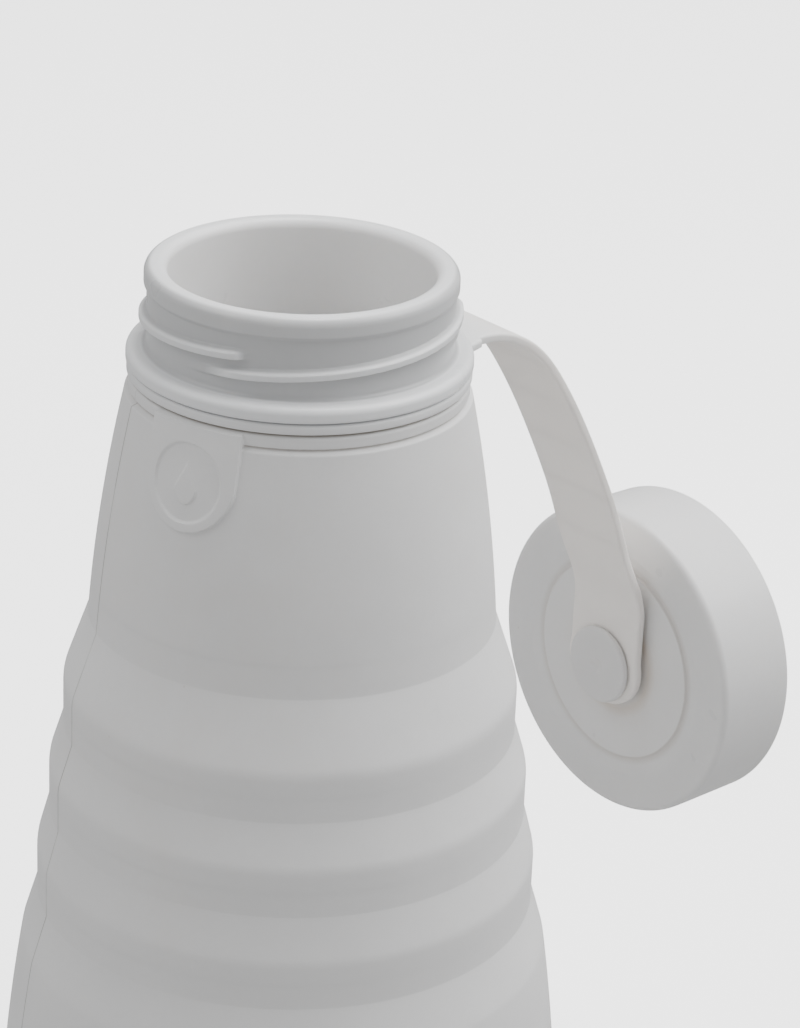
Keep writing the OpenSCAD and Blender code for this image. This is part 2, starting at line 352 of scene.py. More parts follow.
def seam_shade_line(nodes, turn, half):
    """1 close to the vertical plane through the axis at this turn, falling to 0 at half millimetres from
    it, and broken up along its length: a painted dark line for the shade of the parting ridge."""
    turn = math.radians(turn)
    across = nodes.add("ShaderNodeVectorMath", Vector=nodes.place)
    across.operation = "DOT_PRODUCT"
    across.inputs[1].default_value = (math.sin(turn), -math.cos(turn), 0)
    size = nodes.tree.nodes.new("ShaderNodeMath")
    size.operation = "ABSOLUTE"
    nodes.put(size.inputs[0], across.outputs["Value"])
    line = nodes.map_range(size.outputs[0], (half * 0.4 * MM, half * MM), (1.0, 0.0))
    broken = nodes.map_range(nodes.noise(scale=70.0, roughness=0.6), (0.38, 0.56), (0.25, 1.0))
    return nodes.times(line, broken)


def moulded(name, tone, warm, rough, grain, subsurface, sheen=0.0, coat=0.0, shade_and_tint_bands=None, centre=None,
            stain=0.0, seam_shade_turn=None):
    """Pale moulded silicone or plastic: cloudy tone, dust specks, patchy sheen and a fine moulded grain.
    tone and warm give its grey. The banded colour by distance from an axis darkens it: painted shade in
    grooves and under overhangs, with some warm tint. stain is how strong the warm patches are, and seam is
    the turn of a painted dark line along the parting ridge, standing in for the ridge's shade."""
    nodes = Nodes(name)

    clouds = nodes.map_range(nodes.noise(scale=38.0, detail=5.0, roughness=0.6), (0.3, 0.7))
    colour = nodes.mix(clouds, grey(tone * 0.975, warm * 0.6), grey(tone * 1.02, warm))
    fine = nodes.map_range(nodes.noise(scale=900.0, detail=3.0, roughness=0.6), (0.35, 0.75), (0.0, 0.35))
    colour = nodes.mix(fine, colour, grey(tone * 0.955, warm * 1.4))
    dust = nodes.map_range(specks(nodes, scale=170.0, size=0.055), (0.0, 1.0), (0.0, 0.45))
    colour = nodes.mix(dust, colour, grey(tone * 0.6, 0.08))
    # painted shade: darker by distance from an axis, in grooves and under overhangs
    if shade_and_tint_bands is not None:
        colour = nodes.mix(1.0, colour, radius_bands(nodes, shade_and_tint_bands, centre), "MULTIPLY")
    if stain:
        patches = nodes.noise(scale=17.0, detail=6.0, roughness=0.65)
        spread = nodes.map_range(patches, (0.52, 0.68), (0.0, stain))
        colour = nodes.mix(spread, colour, grey(tone * 0.93, 0.035))
    if seam_shade_turn is not None:
        # painted shade: a dark line along the parting ridge, for the shade the ridge throws
        colour = nodes.mix(seam_shade_line(nodes, seam_shade_turn, parting_half), colour, grey(tone * 0.55, 0.02))

    handled = nodes.noise(scale=120.0, roughness=0.55)
    tiny = nodes.bump(nodes.noise(scale=3200.0, detail=2.0, roughness=0.6), grain, 0.00003)
    soft = nodes.bump(nodes.noise(scale=260.0, detail=3.0), grain * 0.5, 0.00006, tiny)
    wavy = nodes.bump(nodes.noise(scale=42.0, detail=2.0), 1.0, 0.0007, soft)
    nodes.surface(
        Base_Color=colour,
        Roughness=nodes.map_range(handled, (0.3, 0.7), (rough - 0.05, rough + 0.06)),
        Normal=wavy,
        Subsurface_Weight=subsurface,
        Subsurface_Radius=(1.0, 0.92, 0.82),
        Subsurface_Scale=0.004,
        Sheen_Weight=sheen,
        Sheen_Roughness=0.45,
        Coat_Weight=coat,
        Coat_Roughness=0.3,
        IOR=1.43)
    return nodes.material


# painted shade in grooves and under overhangs, with some warm tint, by distance from the bottle's axis, or
# from the cap's
PLAIN = grey(1.0)
# neck: painted shade on the wall between the threads, in the groove under the flange and on the flange's
# top by the wall; the faint warm tint in the bore is painted light through the thin wall
NECK_SHADE_BANDS = (
    (mouth_r - 0.5, grey(1.0, 0.028)), (mouth_r + 0.7, grey(0.99, 0.004)), (22.4, grey(0.97)),
    (neck_r - 0.1, grey(0.64)), (23.42, grey(0.64)), (23.9, PLAIN),
    (24.3, grey(0.90)), (24.9, grey(0.88)), (26.1, PLAIN))
# shoulder: painted shade, dark and warm, on the bead's top and in the groove where it tucks under the
# strap ring
SHOULDER_SHADE_BANDS = ((23.5, grey(0.36, 0.12)), (25.05, grey(0.46, 0.11)), (25.5, PLAIN), (46.0, PLAIN))
# strap: painted shade on the ring and the strap's root under the neck's flange; further out, its own
# warmer tone
STRAP_TONE_AND_SHADE = (
    (23.5, grey(0.88, -0.006)), (29.0, grey(0.92)), (42.0, grey(0.985, 0.05)), (72.0, grey(0.985, 0.04)))
# cap, by distance from the stud: a painted shadow ring round the strap's end, warm for the brown dirt
# there, and painted shade in the step round the dish
CAP_DIRT_AND_SHADOW = (
    (0.0, PLAIN), (7.4, grey(0.98, 0.01)), (8.7, grey(0.84, 0.07)), (10.4, grey(0.98, 0.01)),
    (12.5, PLAIN), (17.15, PLAIN), (17.4, grey(0.82, 0.03)), (18.0, grey(0.86, 0.02)),
    (18.8, PLAIN), (27.0, PLAIN))


def body_silicone(name, shade_and_tint_bands=None):
    return moulded(name, tone=0.85, warm=0.004, rough=0.50, grain=0.25, subsurface=0.08,
                   shade_and_tint_bands=shade_and_tint_bands, stain=0.5, seam_shade_turn=parting_turns[0])


body_look = body_silicone("body_silicone")
shoulder_look = body_silicone("shoulder_silicone", SHOULDER_SHADE_BANDS)
strap_look = moulded("strap_silicone", tone=0.96, warm=0.0, rough=0.48, grain=0.2, subsurface=0.08,
                     shade_and_tint_bands=STRAP_TONE_AND_SHADE)
neck_look = moulded("neck_plastic", tone=0.92, warm=-0.012, rough=0.32, grain=0.18, subsurface=0.15,
                    coat=0.3, shade_and_tint_bands=NECK_SHADE_BANDS, stain=0.25)
cap_look = moulded("cap_plastic", tone=0.80, warm=0.004, rough=0.32, grain=0.15, subsurface=0.2,
                   coat=0.08, shade_and_tint_bands=CAP_DIRT_AND_SHADOW, centre=tuple(stud_at), stain=0.3)
stud_look = moulded("stud_plastic", tone=0.77, warm=0.01, rough=0.34, grain=0.15, subsurface=0.2,
                    coat=0.05)
gasket_look = moulded("gasket_silicone", tone=0.82, warm=0.01, rough=0.5, grain=0.2, subsurface=0.2,
                      sheen=0.10)


def finish_piece(piece, look, slot, *nodes):
    """Gives a piece its look and hides the CAD nodes it stands for. slot is not used."""
    piece.data.materials.clear()
    piece.data.materials.append(look)
    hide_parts(*nodes)


# ---------------------------------------------------------------- silicone body

def shoulder_r(z):
    """The shoulder's plain skin, which swells out a little between its top and its foot."""
    s = (shoulder_top_z - z) / (shoulder_top_z - shoulder_foot_z)
    return shoulder_top_r + (shoulder_foot_r - shoulder_top_r) * s + 2.6 * s * (1 - s)


def base_side_r(z):
    """The base's side, which bulges towards its foot."""
    s = (base_top_z - z) / base_top_z
    return base_top_r + (base_foot_r - base_top_r) * (2.3 * s - 1.3 * s * s)


def body_outline():
    """The body's side from the shoulder's top edge down to the start of the foot's rounding. Each fold is
    a crease under the part above, then a flare down to the ring's top corner."""
    shoulder_levels = np.linspace(shoulder_top_z, shoulder_foot_z + 2, 20)
    base_levels = np.linspace(base_top_z - 3, foot_round, 14)
    corners = [(shoulder_r(z), z, 0) for z in shoulder_levels]
    above_r, above_foot = shoulder_foot_r, shoulder_foot_z
    for name in ("ring_upper", "ring_middle", "ring_lower"):
        corners.append((above_r, above_foot, crease_round))
        corners.append((ring_r[name], ring_top[name], ring_round))
        above_r, above_foot = ring_r[name], ring_foot[name]
    corners.append((above_r, above_foot, crease_round))
    corners.append((base_top_r, base_top_z, base_round))
    corners += [(base_side_r(z), z, 0) for z in base_levels]
    return densify(rounded(corners), 0.9)


side = body_outline()


def side_r(z):
    """The radius of the body's plain side at a height."""
    return np.interp(z, side[::-1, 1], side[::-1, 0])


def side_rows(z_top, z_foot):
    """Heights of the side's rows from z_top down to z_foot."""
    clear = 0.15
    inner = [z for z in side[:, 1] if z_foot + clear < z < z_top - clear]
    return np.array([z_top] + inner + [z_foot])


def parting_line(angle, z):
    """The fine ridge that the two halves of the mould leave."""
    lift = np.zeros_like(angle)
    for centre in parting_turns:
        across = np.radians(away_from(np.degrees(angle), centre)) * side_r(z)
        lift += parting_height * np.exp(-(across / parting_half) ** 2)
    return lift


BODY_STEPS = 168
PARTING_WINDOWS = tuple((centre, 1.6, 0.2) for centre in parting_turns)
body_angles = turns(BODY_STEPS, *PARTING_WINDOWS)


def wall_faces(rows):
    """The outer face going down through these heights, and the inner face coming back up."""
    outer = np.stack([side_r(rows), rows], axis=1)
    inner = np.stack([side_r(rows) - wall_t, rows], axis=1)[::-1]
    return outer, inner


def wall_section(name, z_top, z_foot):
    """A closed length of the body's wall, with its own inner face."""
    outer, inner = wall_faces(side_rows(z_top, z_foot))
    return revolve(name, np.vstack([outer, inner]), body_angles, parting_line, len(outer))


def middle_of(name):
    return (ring_top[name] + ring_foot[name]) / 2


def bend_across(piece):
    """Bakes the piece's placement into its mesh."""
    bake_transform(piece)


def build_base():
    """The base cup up to the middle of the ring above it, with the hollow underside it stands on."""
    outer, inner = wall_faces(side_rows(middle_of("ring_lower"), foot_round))
    foot_r = base_side_r(foot_round)
    stand_r = foot_r - foot_round - 2.5
    hollow_z = 0.8
    groove_z = 1.25
    groove_in, groove_out = 20.6, 24.0
    pip_r, pip_z = 3.0, 0.55
    floor_z = 3.0
    under = rounded([
        (foot_r, foot_round + 0.3, 0), (foot_r, 0, foot_round), (stand_r, 0, 0.6),
        (stand_r - 1.1, hollow_z, 0.6), (groove_out, hollow_z, 0.4), (groove_out - 0.6, groove_z, 0.4),
        (groove_in + 0.6, groove_z, 0.4), (groove_in, hollow_z, 0.4), (pip_r + 0.4, hollow_z, 0.3),
        (pip_r, pip_z, 0.3), (0, pip_z, 0)], 0.6)
    floor = rounded([
        (0, floor_z, 0), (30, floor_z, 0), (foot_r - wall_t, floor_z - 0.4, foot_round - 1),
        (foot_r - wall_t, foot_round + 1.4, 0)], 0.6)
    under = densify(under, 2.5)[1:]
    under = under[under[:, 1] < foot_round - 0.05]
    floor = densify(floor, 2.5)
    inner = inner[inner[:, 1] > foot_round + 1.8]
    outline = np.vstack([under[::-1], outer[::-1], inner[::-1], floor[::-1]])
    piece = revolve("base_cup_skin", outline, body_angles)
    ridge_on(piece)
    return piece


def ridge_on(piece, from_z=1.5, full_z=9.0):
    """Lifts the parting line on the outside of the base, fading it out below full_z."""
    for vertex in piece.data.vertices:
        x, y, z = (c / MM for c in vertex.co)
        level = max(z, foot_round)
        on_inner_face = z > foot_round and math.hypot(x, y) < side_r(level) - 1.2
        if z < from_z or on_inner_face:
            continue
        angle = np.array(math.atan2(y, x))
        lift = float(parting_line(angle, level)) * float(smoothstep(from_z, full_z, z))
        vertex.co.x += math.cos(angle) * lift * MM
        vertex.co.y += math.sin(angle) * lift * MM


def build_body():
    """Each piece runs from the middle of one ring to the middle of the next, over the fold between them.
    """
    base = build_base()
    bend_across(base)
    finish_piece(base, body_look, "body_silicone", "base_cup", "fold_base")
    levels = [("ring_lower", "ring_middle", "lower_ring", "middle_ring", "fold_lower"),
              ("ring_middle", "ring_upper", "middle_ring", "upper_ring", "fold_middle")]
    for under, over, lower, upper, fold in levels:
        piece = wall_section(under + "_skin", middle_of(over), middle_of(under))
        bend_across(piece)
        finish_piece(piece, body_look, "body_silicone", under, fold)
    shoulder_cut = shoulder_foot_z + 5
    piece = wall_section("ring_upper_skin", shoulder_cut, middle_of("ring_upper"))
    bend_across(piece)
    finish_piece(piece, body_look, "body_silicone", "ring_upper", "fold_upper")
    build_shoulder(shoulder_cut)


# the raised tab: square at the top, round below, with a round recess and a plain droplet in it
TAB_HALF = 8.1
TAB_PROUD = 0.6
TAB_CENTRE_DROP = 8.7
RECESS_R = 5.9
RECESS_DEPTH = 0.34
DROPLET_PROUD = 0.28
DROPLET_HALF = 2.1
DROPLET_TALL = 2.3
DROPLET_CENTRE_DROP = TAB_CENTRE_DROP + 0.9


def tab_relief(angle, z):
    """How far the tab, its recess and its droplet stand out from the shoulder's plain skin."""
    across = np.radians(away_from(np.degrees(angle), tab_turn)) * (side_r(z) + 0.3)
    drop = grip_top_z - z
    below = np.maximum(drop - TAB_CENTRE_DROP, 0)
    round_edge = np.hypot(across, below * 1.06) - TAB_HALF + 0.35 * smoothstep(0, 4, below)
    edge = np.where(below > 0, round_edge, np.abs(across) - TAB_HALF)
    plate = TAB_PROUD * (1 - smoothstep(-0.16, 0.12, edge))

    out = np.hypot(across, drop - TAB_CENTRE_DROP)
    recess = RECESS_DEPTH * (1 - smoothstep(RECESS_R - 0.3, RECESS_R + 0.1, out))

    # the droplet: half an ellipse below its centre, and drawn up to a point above it
    tall = (drop - DROPLET_CENTRE_DROP) / DROPLET_TALL
    bowl = np.sqrt(np.clip(1 - tall * tall, 0, 1))
    point = np.clip(1 + tall / 1.9, 0, 1) ** 1.1
    width = DROPLET_HALF * np.where(tall > 0, bowl, point)
    inside = (width - np.abs(across)) * smoothstep(-2.1, -1.7, tall)
    droplet = DROPLET_PROUD * smoothstep(0.0, 0.3, inside)
    return plate - recess + droplet * (plate > TAB_PROUD * 0.5)


def build_shoulder(z_foot):
    """The shoulder with the bead that grips the neck; the tab covers the bead where they meet."""
    bore_r = groove_r + 0.02
    rim_top = grip_top_z + 0.34
    fine_top, fine_foot, fine_step = 150.6, 137.0, 0.17
    bead = rounded([
        (bore_r, rim_top, 0), (grip_bead_r - 1.3, rim_top - 0.02, 0.3),
        (grip_bead_r, grip_top_z - 0.1, 0.6), (grip_bead_r, grip_groove_z + 0.1, 0.45),
        (grip_bead_r - 0.62, grip_groove_z - 0.05, 0.2),
        (shoulder_top_r - 0.7, shoulder_top_z + 0.25, 0.2),
        (shoulder_top_r + 0.02, shoulder_top_z - 0.05, 0.4), (shoulder_r(fine_top), fine_top, 0)], 0.12)
    tab_rows = np.arange(fine_top, fine_foot, -fine_step)
    plain_rows = np.linspace(fine_foot, z_foot, 24)
    rows = np.concatenate([tab_rows[1:], plain_rows])
    outer = np.vstack([densify(bead, 0.25), np.stack([side_r(rows), rows], axis=1)])
    inside_low, inside_high, bore_foot = 128, 143, 144.2
    inside = rounded([
        (side_r(z_foot) - wall_t, z_foot, 0), (side_r(inside_low) - wall_t, inside_low, 0),
        (side_r(inside_high) - wall_t, inside_high, 2), (bore_r, bore_foot, 1), (bore_r, rim_top, 0)])
    inside = densify(inside, 2.0)[:-1]
    angles = turns(BODY_STEPS, (tab_turn, 19.0, 0.36), *PARTING_WINDOWS)

    def hollow_below_skin(z):
        """How far the grooves lie below the plain skin that the tab continues."""
        own = np.interp(z, outer[::-1, 1], outer[::-1, 0])
        return np.clip(shoulder_r(z) - own, 0, 1.0) * (z < grip_top_z - 0.3)

    def relief(angle, z):
        tab = tab_relief(angle, z)
        on_skin = smoothstep(grip_top_z + 0.01, grip_top_z - 0.35, z)
        fill = np.where(tab > TAB_PROUD * 0.5, hollow_below_skin(z), 0)
        ridge = parting_line(angle, z) * smoothstep(grip_top_z, grip_top_z - 2, z)
        return tab * on_skin + fill + ridge

    piece = revolve("shoulder_skin", np.vstack([outer, inside]), angles, relief, len(outer))
    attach(piece, "neck")
    finish_piece(piece, shoulder_look, "body_silicone", "shoulder")


build_body()


# ---------------------------------------------------------------- neck

def thread_lift(angle, z, height, top_z, first_turn, sweep, fade, starts=3):
    """Height of a bead thread above its wall. Each start winds back and down from its top end, and runs
    out over the last fade degrees of its sweep. The upper flank slopes, the lower flank is steep."""
    lift = np.zeros_like(angle)
    for i in range(starts):
        back = (first_turn + 360.0 * i / starts - np.degrees(angle)) % 360
        from_crest = z - (top_z - thread_lead * back / 360)
        shape = smoothstep(1.0, 0.22, from_crest) * smoothstep(-1.0, -0.55, from_crest)
        ends = smoothstep(0.0, 8.0, back) * smoothstep(sweep, sweep - fade, back)
        lift = np.maximum(lift, height * shape * ends * (back < sweep))
    return lift


def build_neck():
    """The neck moulding: a rounded lip, the threaded wall, the flange and the groove for the strap."""
    lip_round = 1.5
    lip_foot = rim_z - 2.9
    wall_top = rim_z - 3.5
    bore_top = rim_z - 4
    flange_top = rim_z - 12.5
    flange_under = rim_z - 15.05
    foot = low("neck_collar")[2]
    groove_foot = foot + 10
    outer = rounded([
        (mouth_r, bore_top, 0), (mouth_r, rim_z, lip_round), (lip_r, rim_z, lip_round - 0.05),
        (lip_r, lip_foot, 0.5), (neck_r, wall_top, 0.6), (neck_r, flange_top, 0.7),
        (flange_r, flange_top - 0.35, 1.1), (flange_r, flange_under + 0.1, 0.55),
        (flange_r - 0.95, flange_under - 0.27, 0.3), (groove_r, flange_under - 0.3, 0.1),
        (groove_r, groove_foot, 0)], 0.12)
    outer = densify(outer, 0.16)
    skirt = rounded([(groove_r, groove_foot, 0), (groove_r, foot, 0.5), (mouth_r, foot, 0.8),
                     (mouth_r, bore_top, 0)], 0.3)
    outline = np.vstack([outer, densify(skirt, 1.2)[1:-1]])

    def relief(angle, z):
        clear_of_flange = smoothstep(flange_top + 0.3, flange_top + 1.2, z)
        thread = thread_lift(angle, z, thread_height, thread_top_z, thread_first_turn,
                             sweep=thread_sweep + 13, fade=34.0)
        return thread * clear_of_flange

    # the outline is taken from the lip outwards, so the thread's rows come first
    first = int(np.argmax(outer[:, 0] >= lip_r - 1e-3))
    order = np.vstack([outline[first:], outline[:first]])
    rows = int(np.argmax(order[:, 1] < flange_top + 0.2))
    piece = revolve("neck_moulding", order, turns(300), relief, rows)
    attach(piece, "neck")
    finish_piece(piece, neck_look, "neck_plastic", "neck_collar")


build_neck()


# ---------------------------------------------------------------- strap

BEND_COUNT = 8
SPAN_STEPS = 16
bends = [joint_at(f"strap_bend_{i + 1}")[[0, 2]] for i in range(BEND_COUNT)]
ring_edge_x = 28.6
tip_start_z = 95.0


def spline(knots, start_slope, end_slope):
    """A smooth curve through the knots, with given unit directions at its two ends."""
    knots = np.array(knots, float)
    spans = np.linalg.norm(np.diff(knots, axis=0), axis=1)
    n = len(knots)
    matrix = np.zeros((n, n))
    right = np.zeros((n, 2))
    matrix[0, 0] = matrix[-1, -1] = 1
    right[0], right[-1] = start_slope, end_slope
    for i in range(1, n - 1):
        a, b = spans[i - 1], spans[i]
        matrix[i, i - 1:i + 2] = (b, 2 * (a + b), a)
        right[i] = 3 * (b * (knots[i] - knots[i - 1]) / a + a * (knots[i + 1] - knots[i]) / b)
    slopes = np.linalg.solve(matrix, right)
    out = []
    for i in range(n - 1):
        h = spans[i]
        for k in range(SPAN_STEPS):
            t = k / SPAN_STEPS
            out.append((2 * t**3 - 3 * t**2 + 1) * knots[i] + (t**3 - 2 * t**2 + t) * h * slopes[i]
                       + (3 * t**2 - 2 * t**3) * knots[i + 1] + (t**3 - t**2) * h * slopes[i + 1])
    out.append(knots[-1])
    return np.array(out)


strap_knots = [np.array([ring_edge_x, strap_mid_z])] + bends + [np.array([stud_at[0], tip_start_z])]
strap_path = spline(strap_knots, (1.0, 0.0), (0.0, -1.0))
strap_heading = np.gradient(strap_path, axis=0)
strap_heading[0], strap_heading[-1] = (1, 0), (0, -1)
strap_heading /= np.linalg.norm(strap_heading, axis=1)[:, None]


def strap_section(points=6):
    """The strap's cross-section: a flat band with rounded edges, as (across, thickness)."""
    round_r = 0.5
    corners = [(strap_w / 2, strap_t / 2), (-strap_w / 2, strap_t / 2),
               (-strap_w / 2, -strap_t / 2), (strap_w / 2, -strap_t / 2)]
    out = []
    for index, (u, v) in enumerate(corners):
        centre = (u - math.copysign(round_r, u), v - math.copysign(round_r, v))
        for k in range(points + 1):
            angle = math.radians(90 * index + 90 * k / points)
            out.append((centre[0] + round_r * math.cos(angle), centre[1] + round_r * math.sin(angle)))
        if index % 2 == 0:
            step = math.copysign(1.0, -u)
            out += [(u - math.copysign(round_r, u) + step * d, v)
                    for d in np.linspace(0, strap_w - 2 * round_r, 13)[1:-1]]
    return out


def band(name, first, last):
    """A closed length of strap between two points of the strap's path."""
    section = strap_section()
    path = strap_path[first:last + 1]
    tangents = strap_heading[first:last + 1]
    points = []
    for (x, z), (tx, tz) in zip(path, tangents):
        for across, thick in section:
            points.append((x - tz * thick, across, z + tx * thick))
    count = len(section)
    rows = len(path)
    faces = [list(range(count)), list(range((rows - 1) * count, rows * count))[::-1]]
    for i in range(rows - 1):
        for k in range(count):
            m = (k + 1) % count
            faces.append([i * count + k, (i + 1) * count + k, (i + 1) * count + m, i * count + m])
    return make_piece(name, points, faces)


def cut_flat(name, points, faces, at, away):
    """A mesh object cut off flat at the plane through at, with the side that away points to gone."""
    piece = make_piece(name, points, faces, sharp_deg=40.0)
    built = bmesh.new()
    built.from_mesh(piece.data)
    everything = built.verts[:] + built.edges[:] + built.faces[:]
    cut = bmesh.ops.bisect_plane(built, geom=everything, dist=1e-6, plane_co=Vector(at) * MM,
                                 plane_no=away, clear_outer=True)
    rim = [e for e in cut["geom_cut"] if isinstance(e, bmesh.types.BMEdge)]
    bmesh.ops.contextual_create(built, geom=rim)
    for edge in rim:
        edge.smooth = False
    bmesh.ops.recalc_face_normals(built, faces=built.faces)
    built.to_mesh(piece.data)
    built.free()
    return piece


def outline_plate(name, outer, holes, thickness, cut_at, cut_away, bevel=0.5):
    """A flat plate in the XY plane with rounded edges, from a closed outline and round holes,
    cut off flat where a band carries on from it."""
    curve = bpy.data.curves.new(name, "CURVE")
    curve.dimensions = "2D"
    curve.fill_mode = "BOTH"
    curve.extrude = (thickness / 2 - bevel) * MM
    curve.bevel_depth = bevel * MM
    curve.bevel_resolution = 5
    curve.offset = -bevel * MM
    for loop in [outer] + holes:
        path = curve.splines.new("POLY")
        path.points.add(len(loop) - 1)
        for point, (x, y) in zip(path.points, loop):
            point.co = (x * MM, y * MM, 0, 1)
        path.use_cyclic_u = True
    shape = bpy.data.objects.new(name, curve)
    bpy.context.scene.collection.objects.link(shape)
    bpy.context.view_layer.update()
    graph = bpy.context.evaluated_depsgraph_get()
    mesh = bpy.data.meshes.new_from_object(shape.evaluated_get(graph))
    bpy.data.objects.remove(shape)
    points = np.array([v.co for v in mesh.vertices]) / MM
    faces = [list(p.vertices) for p in mesh.polygons]
    bpy.data.meshes.remove(mesh)
    return cut_flat(name, points, faces, cut_at, cut_away)


def circle(x, y, r, count, start=0.0, end=360.0):
    """Points on a circle or on part of one, in degrees; only a part ends with its end point."""
    whole = abs(end - start) > 359.9
    steps = count if whole else count + 1
    return [(x + r * math.cos(math.radians(start + (end - start) * k / count)),
             y + r * math.sin(math.radians(start + (end - start) * k / count)))
            for k in range(steps)]


def build_strap_ring():
    """The ring in the neck's groove, filleted into the start of the strap."""
    ring_out_r = high("strap_ring")[1]
    half = strap_w / 2
    fillet = 4.0
    past_cut_x = ring_edge_x + 3
    # the fillet's centre is a fillet radius outside the strap's edge and outside the ring
    fillet_x = math.sqrt((ring_out_r + fillet) ** 2 - (half + fillet) ** 2)
    lean = math.degrees(math.atan2(half + fillet, fillet_x))
    upper = circle(fillet_x, half + fillet, fillet, 12, lean + 180, 270)
    lower = [(x, -y) for x, y in upper][::-1]
    around = circle(0, 0, ring_out_r, 150, lean, 360 - lean)
    edge = [(past_cut_x, -half), (past_cut_x, half)]
    outline = around[1:-1] + lower + edge + upper[::-1]
    hole = circle(0, 0, groove_r + 0.05, 150)
    piece = outline_plate("strap_ring_moulding", outline, [hole], strap_t, (ring_edge_x, 0, 0), (1, 0, 0))
    piece.data.transform(Matrix.Translation((0, 0, strap_mid_z * MM)))
    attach(piece, "swivel_ring")
    finish_piece(piece, strap_look, "strap_silicone", "strap_ring")


def build_strap():
    """The ring, one band across each bend, cut half way between bends, and the end plate."""
    build_strap_ring()
    path_end = len(strap_path) - 1
    cuts = [0] + [int(SPAN_STEPS * (i + 1.5)) for i in range(BEND_COUNT - 1)] + [path_end]
    for i in range(BEND_COUNT):
        piece = band(f"strap_band_{i + 1}", cuts[i], cuts[i + 1])
        at_bend = SPAN_STEPS * (i + 1)
        along = strap_path[min(at_bend + 2, path_end)] - strap_path[at_bend - 2]
        along = along / np.linalg.norm(along)
        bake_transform(piece)
        node = "strap_end" if i == BEND_COUNT - 1 else f"strap_segment_{i + 1}"
        finish_piece(piece, strap_look, "strap_silicone", node)
    build_strap_end()


def build_strap_end():
    """The flat end that the stud holds, drawn along +X from the strap's end and then turned down."""
    end_r = 8.3
    hole_r = 2.6
    flatten = 0.86
    past_cut_x = -3
    half = strap_w / 2
    drop = tip_start_z - stud_at[2]
    lean = math.degrees(math.asin(half / end_r))
    arc = [(x if x < drop else drop + flatten * (x - drop), y)
           for x, y in circle(drop, 0, end_r, 48, 180 - lean, lean - 180)]
    outline = [(past_cut_x, half)] + arc + [(past_cut_x, -half)]
    hole = circle(drop, 0, hole_r, 48)
    piece = outline_plate("strap_end_plate", outline, [hole], strap_t, (0, 0, 0), (-1, 0, 0))
    turn_down = Matrix.Rotation(math.radians(90), 4, "Y")
    piece.data.transform(Matrix.Translation((stud_at[0] * MM, 0, tip_start_z * MM)) @ turn_down)
    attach(piece, "strap_tip")
    finish_piece(piece, strap_look, "strap_silicone", "strap_end")


build_strap()


# ---------------------------------------------------------------- cap

# the cap's parts are drawn about +Z with the cap's outer face at zero and its open end up
CAP_PLACE = (Matrix.Translation((cap_face_x * MM, 0, stud_at[2] * MM))
             @ Matrix.Rotation(math.radians(90), 4, "Y"))
CAP_BORE_R = 24.6


def build_cap():
    """The cap: a shallow dish with a fine groove round it, a rounded skirt and a boss for the stud."""
    face_z = 0.15
    dish_r = 18.9
    groove_z = 0.5
    mouth_z = cap_h - 0.9
    boss_r = 4.8
    boss_z = 7.2
    face = rounded([
        (0, face_z, 0), (dish_r - 1.6, face_z, 0.25), (dish_r - 1.3, groove_z, 0.2),
        (dish_r - 0.9, groove_z, 0.3), (dish_r + 1.4, 0.0, 1.5), (cap_r - 2.2, 0, 0),
        (cap_r, 0, 2.3), (cap_r, 4, 0), (cap_r - 0.15, cap_h, 0.55), (cap_r - 1.6, cap_h, 0.5),
        (CAP_BORE_R, mouth_z, 0.5), (CAP_BORE_R, cap_top_t + 1.5, 0)], 0.3)
    inside = rounded([
        (CAP_BORE_R, cap_top_t + 1.5, 0), (CAP_BORE_R, cap_top_t, 0.6), (boss_r + 0.3, cap_top_t, 0.8),
        (boss_r, boss_z, 0.7), (0, boss_z, 0)], 0.3)
    outline = np.vstack([densify(face, 0.2), densify(inside, 1.2)[1:]])
    piece = revolve("cap_moulding", outline[::-1], turns(240))
    raise_cap_thread(piece, mouth_z)
    piece.data.transform(CAP_PLACE)
    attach(piece, "cap")
    finish_piece(piece, cap_look, "cap_plastic", "cap_shell")


def raise_cap_thread(piece, mouth_z):
    """Brings the bore's points inwards where the cap's own thread stands, fading it out at the mouth."""
    for vertex in piece.data.vertices:
        x, y, z = (c / MM for c in vertex.co)
        on_bore = abs(math.hypot(x, y) - CAP_BORE_R) < 0.02 and z > cap_top_t + 1.2
        if not on_bore:
            continue
        angle = np.array([math.atan2(y, x)])
        lift = thread_lift(angle, np.array([z]), height=1.0, top_z=cap_h - 2.2, first_turn=20.0,
                           sweep=thread_sweep, fade=13.0)[0]
        keep = float(smoothstep(mouth_z, mouth_z - 0.7, z))
        vertex.co.x -= math.cos(angle[0]) * lift * keep * MM
        vertex.co.y -= math.sin(angle[0]) * lift * keep * MM


def build_gasket():
    """The soft ring under the cap's top: two lips with a shallow channel between them."""
    inner_r, outer_r = 18.6, 24.4
    back_z = cap_top_t + 0.02
    lip_z = cap_top_t + 1.4
    channel_z = cap_top_t + 1.1
    outline = rounded([
        (inner_r, back_z, 0), (outer_r, back_z, 0.3), (outer_r, lip_z, 0.3),
        (outer_r - 1.6, lip_z, 0.3), (outer_r - 2.2, channel_z, 0.3), (inner_r + 1.8, channel_z, 0.3),
        (inner_r + 1.2, lip_z, 0.3), (inner_r, lip_z, 0.35), (inner_r, back_z, 0)], 0.15)[:-1]
    piece = revolve("cap_gasket_ring", outline, turns(160))
    piece.data.transform(CAP_PLACE)
    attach(piece, "cap")
    finish_piece(piece, gasket_look, "gasket", "cap_gasket")


